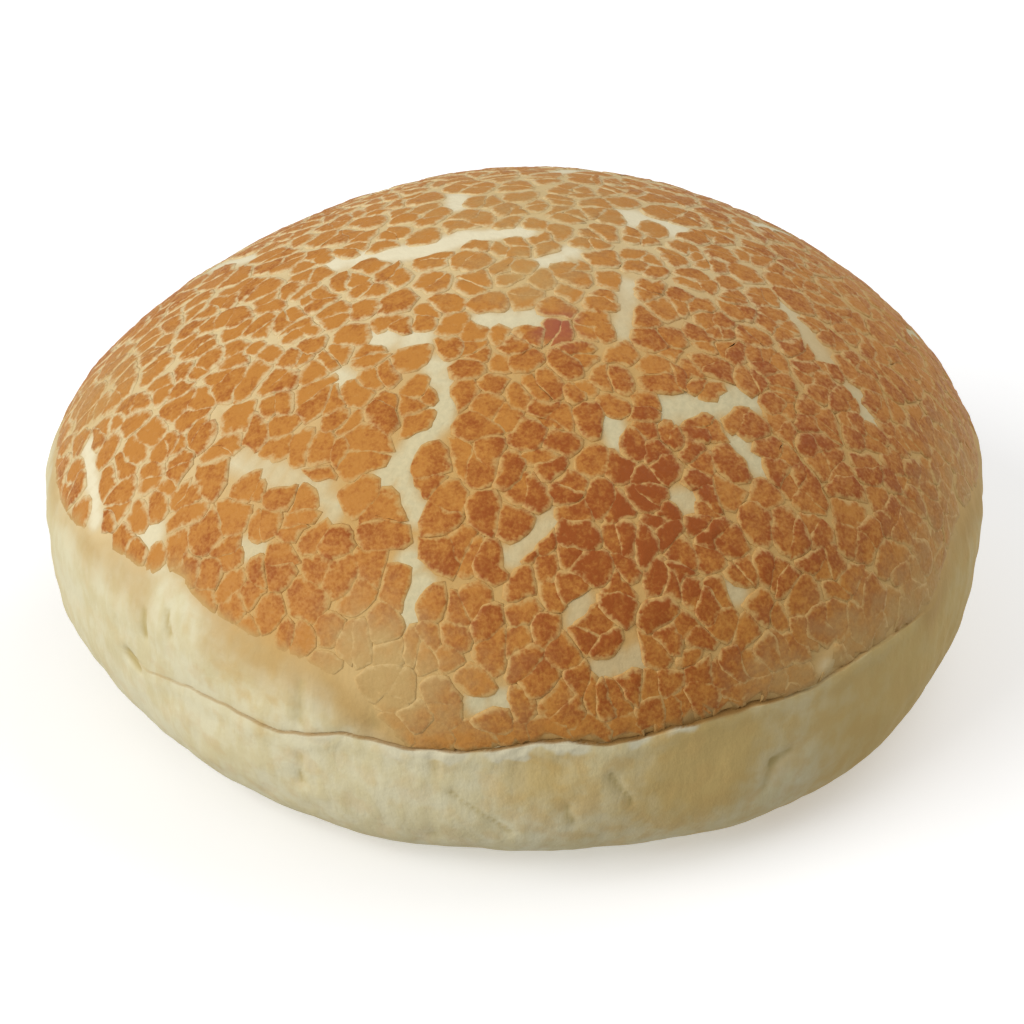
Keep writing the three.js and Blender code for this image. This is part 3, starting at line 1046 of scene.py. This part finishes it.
def scorched_and_shaded(ways):
    """Brown of the cut's line and its upper lip, partly real and partly painted shade, from 0 to 1."""
    above = above_ragged_cut(ways)
    line = np.exp(-((above / (cut_half_width(ways) + SCORCH_SHADE_SPREAD)) ** 2))
    lip = between(SCORCH_SHADE_LIP, paste_cover(ways)) * np.exp(-np.maximum(above, 0) / SCORCH_SHADE_HEIGHT)
    return np.maximum(line, lip * (above >= 0)) * cut_presence(ways) * cut_strength(ways)


def dough_parts(seeds):
    grid = dough_directions()
    rows, columns, _ = grid.shape
    poles = np.array([[0.0, 0.0, -1.0], [0.0, 0.0, 1.0]])
    ways = np.concatenate([grid.reshape(-1, 3), poles])
    points = point_at(ways)
    cover = paste_cover(ways)
    crumb = crumb_band(ways, points)
    rough, length = CRUMB_ROUGH
    raised = dough_height(ways) + cut_form(ways) + rough * crumb * noise_at(points, length)
    raised = raised - DOUGH_SINK * smoothstep(cover, *SUNK_COVER)
    radius = on_base(ways, body_radius(ways) + raised)
    rift = rift_nearness(points, seeds) * (1 - dulled(ways))
    parts = MeshParts()
    parts.add(
        ways * radius[:, None],
        grid_faces(rows, columns),
        stain=paste_stain(ways),
        tan=cover * (1 - rift),
        rift=rift * smoothstep(cover, *RIFT_COVER),
        gold=goldenness(ways),
        faded=faded(ways),
        toast=toasted(ways),
        crumb=crumb,
        scorch=scorched_and_shaded(ways),
        crease_shade=np.clip(crease_depth(points) / CREASE_SHADE, 0, 1),
    )
    return parts


def linear(colour):
    """Linear colour of an sRGB one given from 0 to 255."""
    share = np.array(colour) / 255
    value = np.where(share <= 0.04045, share / 12.92, ((share + 0.055) / 1.055) ** 2.4)
    return (*value.tolist(), 1.0)


class NodeWork:
    """Short ways to add and link the nodes of one material."""

    def __init__(self, name):
        self.material = bpy.data.materials.new(name)
        self.material.use_nodes = True
        self.tree = self.material.node_tree
        self.shader = self.tree.nodes["Principled BSDF"]

    def feed(self, socket, value):
        """Link another node's output to a socket, or set the socket to a plain value."""
        if isinstance(value, bpy.types.NodeSocket):
            self.tree.links.new(value, socket)
        else:
            socket.default_value = value

    def value(self, name):
        """Value that the mesh holds under this name."""
        node = self.tree.nodes.new("ShaderNodeAttribute")
        node.attribute_name = name
        return node.outputs["Fac"]

    def pattern(self, length, detail, stretch=(1, 1, 1)):
        """Noise from about 0 to 1 with features of this length in millimetres."""
        coordinates = self.tree.nodes.new("ShaderNodeTexCoord")
        scale = self.tree.nodes.new("ShaderNodeVectorMath")
        scale.operation = "MULTIPLY"
        self.feed(scale.inputs[0], coordinates.outputs["Object"])
        scale.inputs[1].default_value = stretch
        node = self.tree.nodes.new("ShaderNodeTexNoise")
        node.inputs["Scale"].default_value = 1 / (length * MM)
        node.inputs["Detail"].default_value = detail
        self.feed(node.inputs["Vector"], scale.outputs["Vector"])
        return node.outputs["Fac"]

    def add(self, first, second):
        node = self.tree.nodes.new("ShaderNodeMath")
        node.operation = "ADD"
        self.feed(node.inputs[0], first)
        self.feed(node.inputs[1], second)
        return node.outputs["Value"]

    def span(self, value, source=(0.0, 1.0), target=(0.0, 1.0)):
        """Value passed smoothly from the source range to the target range, and held outside."""
        node = self.tree.nodes.new("ShaderNodeMapRange")
        node.interpolation_type = "SMOOTHSTEP"
        for name, number in zip(("From Min", "From Max", "To Min", "To Max"), (*source, *target)):
            node.inputs[name].default_value = number
        self.feed(node.inputs["Value"], value)
        return node.outputs["Result"]

    def varied(self, value, pattern, swing):
        """Value moved up and down by a noise pattern."""
        return self.add(value, self.span(pattern, NOISE_RANGE, (-swing, swing)))

    def mix(self, share, first, second):
        """Colour between two others, each a node's output or an sRGB colour."""
        node = self.tree.nodes.new("ShaderNodeMix")
        node.data_type = "RGBA"
        self.feed(node.inputs[0], share)
        for position, colour in zip(MIX_COLOURS, (first, second)):
            value = linear(colour) if isinstance(colour, tuple) else colour
            self.feed(node.inputs[position], value)
        return node.outputs[MIX_RESULT]

    def bump(self, height, depth, under=None):
        """Bump of this depth in millimetres, over another one if given."""
        node = self.tree.nodes.new("ShaderNodeBump")
        node.inputs["Distance"].default_value = depth * MM
        self.feed(node.inputs["Height"], height)
        if under is not None:
            self.feed(node.inputs["Normal"], under)
        return node.outputs["Normal"]


def crack_colour(work, thin):
    """Colour of cracks: golden or pale, and faint in thin paste."""
    crack = work.mix(work.value("gold"), CRACK_PALE, CRACK_GOLD)
    return work.mix(thin, crack, CRACK_FAINT)


def plate_colour(work, blotch, fleck, grain):
    """Colour of a plate's face, before it thins out."""
    # This value holds the paste's brownness and the painted shade on the fold's dark side.
    tone = work.value("brown")
    for pattern, swing in zip((blotch, fleck, grain), TONE_SWINGS):
        tone = work.varied(tone, pattern, swing)
    plate = work.mix(work.span(tone), PASTE_LIGHT, PASTE_DARK)
    blush = work.varied(work.value("blush"), blotch, BLUSH_SWING)
    return work.mix(work.span(blush, BLUSH_RANGE), plate, PASTE_BLUSH)


def paste_material():
    work = NodeWork("browned_paste")
    blotch = work.pattern(*PASTE_BLOTCH)
    fleck = work.pattern(*PASTE_FLECK)
    grain = work.pattern(*PASTE_GRAIN)
    thin = work.span(work.varied(work.value("faded"), blotch, FADED_SWING), FADED_RANGE)
    plate = work.mix(thin, plate_colour(work, blotch, fleck, grain), PASTE_THIN)
    rim = work.value("rim")
    for pattern, swing in zip((work.pattern(*RIM_PATTERN), grain), RIM_SWINGS):
        rim = work.varied(rim, pattern, swing)
    colour = work.mix(work.span(rim, RIM_RANGE), crack_colour(work, thin), plate)
    colour = work.mix(work.span(work.value("cover"), COVER_RANGE), PASTE_THIN, colour)
    # The cut's browned colour on plates that tuck into it, partly real and partly painted shade.
    colour = work.mix(work.value("scorch"), colour, CUT_BROWN_AND_SHADE)
    work.feed(work.shader.inputs["Base Color"], colour)
    work.feed(work.shader.inputs["Roughness"], work.span(grain, NOISE_RANGE, PASTE_ROUGHNESS))
    work.shader.inputs["Specular IOR Level"].default_value = SPECULAR
    fine = work.bump(grain, PASTE_GRAIN_BUMP)
    work.feed(work.shader.inputs["Normal"], work.bump(fleck, PASTE_FLECK_BUMP, fine))
    return work.material


def bare_dough_colour(work, cloud, patch, streak):
    """Colour of the dough below the crust, with ochre patches and a stain of paste."""
    shade = work.varied(cloud, streak, SHADE_SWING)
    colour = work.mix(work.span(shade, NOISE_RANGE), DOUGH_LIGHT, DOUGH_DARK)
    toast = work.varied(work.value("toast"), patch, TOAST_SWING)
    colour = work.mix(work.span(toast, TOAST_RANGE), colour, DOUGH_TOASTED)
    stain = work.varied(work.value("stain"), cloud, STAIN_SWING)
    return work.mix(work.span(stain, STAIN_RANGE), colour, PASTE_THIN)


def rift_colour(work, grain):
    """Colour of the rifts, paler where the cracks aren't golden."""
    rift = work.mix(work.span(grain, NOISE_RANGE), RIFT_PALE, RIFT_GREY)
    return work.mix(work.value("gold"), RIFT_CROWN, rift)


def dough_material():
    work = NodeWork("pale_dough")
    cloud = work.pattern(*DOUGH_CLOUD)
    patch = work.pattern(*DOUGH_PATCH)
    grain = work.pattern(*DOUGH_GRAIN)
    streak = work.pattern(STREAK_LENGTH, STREAK_DETAIL, STREAK_STRETCH)
    colour = bare_dough_colour(work, cloud, patch, streak)
    in_cracks = work.varied(work.value("tan"), patch, TAN_SWING)
    colour = work.mix(in_cracks, colour, crack_colour(work, work.value("faded")))
    colour = work.mix(work.value("rift"), colour, rift_colour(work, grain))
    # Painted shade, olive, in the dough's creases.
    colour = work.mix(work.span(work.value("crease_shade"), CREASE_SHADE_RANGE), colour, CREASE_SHADE_OLIVE)
    colour = work.mix(work.span(work.value("crumb"), CRUMB_RANGE), colour, CRUMB_WHITE)
    # The cut's browned colour, partly real and partly painted shade in and over its groove.
    colour = work.mix(work.span(work.value("scorch"), SCORCH_SHADE_RANGE), colour, CUT_BROWN_AND_SHADE)
    work.feed(work.shader.inputs["Base Color"], colour)
    work.shader.inputs["Roughness"].default_value = DOUGH_ROUGHNESS
    work.shader.inputs["Specular IOR Level"].default_value = SPECULAR
    fine = work.bump(grain, DOUGH_GRAIN_BUMP)
    work.feed(work.shader.inputs["Normal"], work.bump(streak, DOUGH_STREAK_BUMP, fine))
    return work.material


def floor_material():
    work = NodeWork("pale_floor")
    work.shader.inputs["Base Color"].default_value = FLOOR_COLOUR
    work.shader.inputs["Roughness"].default_value = FLOOR_ROUGHNESS
    work.shader.inputs["Emission Color"].default_value = WHITE
    work.shader.inputs["Emission Strength"].default_value = FLOOR_GLOW
    return work.material


def make_floor():
    half = FLOOR_SIZE / 2
    corners = [(-half, -half, 0), (half, -half, 0), (half, half, 0), (-half, half, 0)]
    mesh = bpy.data.meshes.new("floor")
    mesh.from_pydata(corners, [], [(0, 1, 2, 3)])
    mesh.materials.append(floor_material())
    floor = place(bpy.data.objects.new("floor", mesh))
    floor.visible_diffuse = False


def turn_to(thing, look):
    thing.rotation_mode = "QUATERNION"
    thing.rotation_quaternion = look.to_track_quat("-Z", "Y")


def make_camera(middle):
    elevation = np.radians(VIEW_ELEVATION)
    back = Vector((0, -np.cos(elevation), np.sin(elevation)))
    up = Vector((0, np.sin(elevation), np.cos(elevation)))
    right = Vector((1, 0, 0))
    data = bpy.data.cameras.new("camera")
    data.lens = LENS
    data.sensor_width = SENSOR
    camera = place(bpy.data.objects.new("camera", data))
    camera.location = Vector(middle) + (VIEW_RIGHT * right + VIEW_UP * up + VIEW_DISTANCE * back) * MM
    turn_to(camera, -back)
    bpy.context.scene.camera = camera


def make_lamp(azimuth, elevation, power):
    data = bpy.data.lights.new("lamp", "AREA")
    data.size = LAMP_SIZE
    data.energy = power
    lamp = place(bpy.data.objects.new("lamp", data))
    lamp.location = Vector(direction(azimuth, elevation)) * LAMP_DISTANCE
    turn_to(lamp, -lamp.location)


def make_light():
    for lamp in LAMPS:
        make_lamp(*lamp)
    world = bpy.data.worlds.new("studio")
    world.use_nodes = True
    world.node_tree.nodes["Background"].inputs["Color"].default_value = WHITE
    world.node_tree.nodes["Background"].inputs["Strength"].default_value = SKY_STRENGTH
    bpy.context.scene.world = world
    bpy.context.scene.view_settings.view_transform = "Standard"


def make_roll():
    """Dough and crust where the frame has the roll. Returns the place of the body's middle."""
    noise.seed_set(WAVER_SEED)
    seeds = split_plates(plant_seeds())
    dough, crust = dough_parts(seeds), crust_parts(seeds)
    points = np.concatenate(dough.points + crust.points)
    low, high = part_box("roll")
    shift = np.array((low + high) / 2 / MM) - (points.min(0) + points.max(0)) / 2
    shift[2] = BASE_DROP
    for name, parts, material in (("dough", dough, dough_material()), ("crust", crust, paste_material())):
        piece = parts.make(name, shift)
        piece.data.materials.append(material)
        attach(piece, "root")
        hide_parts("roll")
    return shift * MM


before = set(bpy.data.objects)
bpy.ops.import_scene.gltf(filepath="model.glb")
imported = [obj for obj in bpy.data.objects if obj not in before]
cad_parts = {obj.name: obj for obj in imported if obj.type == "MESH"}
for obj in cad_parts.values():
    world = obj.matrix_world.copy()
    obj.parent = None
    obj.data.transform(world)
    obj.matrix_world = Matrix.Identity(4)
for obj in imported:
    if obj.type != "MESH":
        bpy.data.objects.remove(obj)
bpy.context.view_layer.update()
middle = make_roll()
make_floor()
make_light()
make_camera(middle)
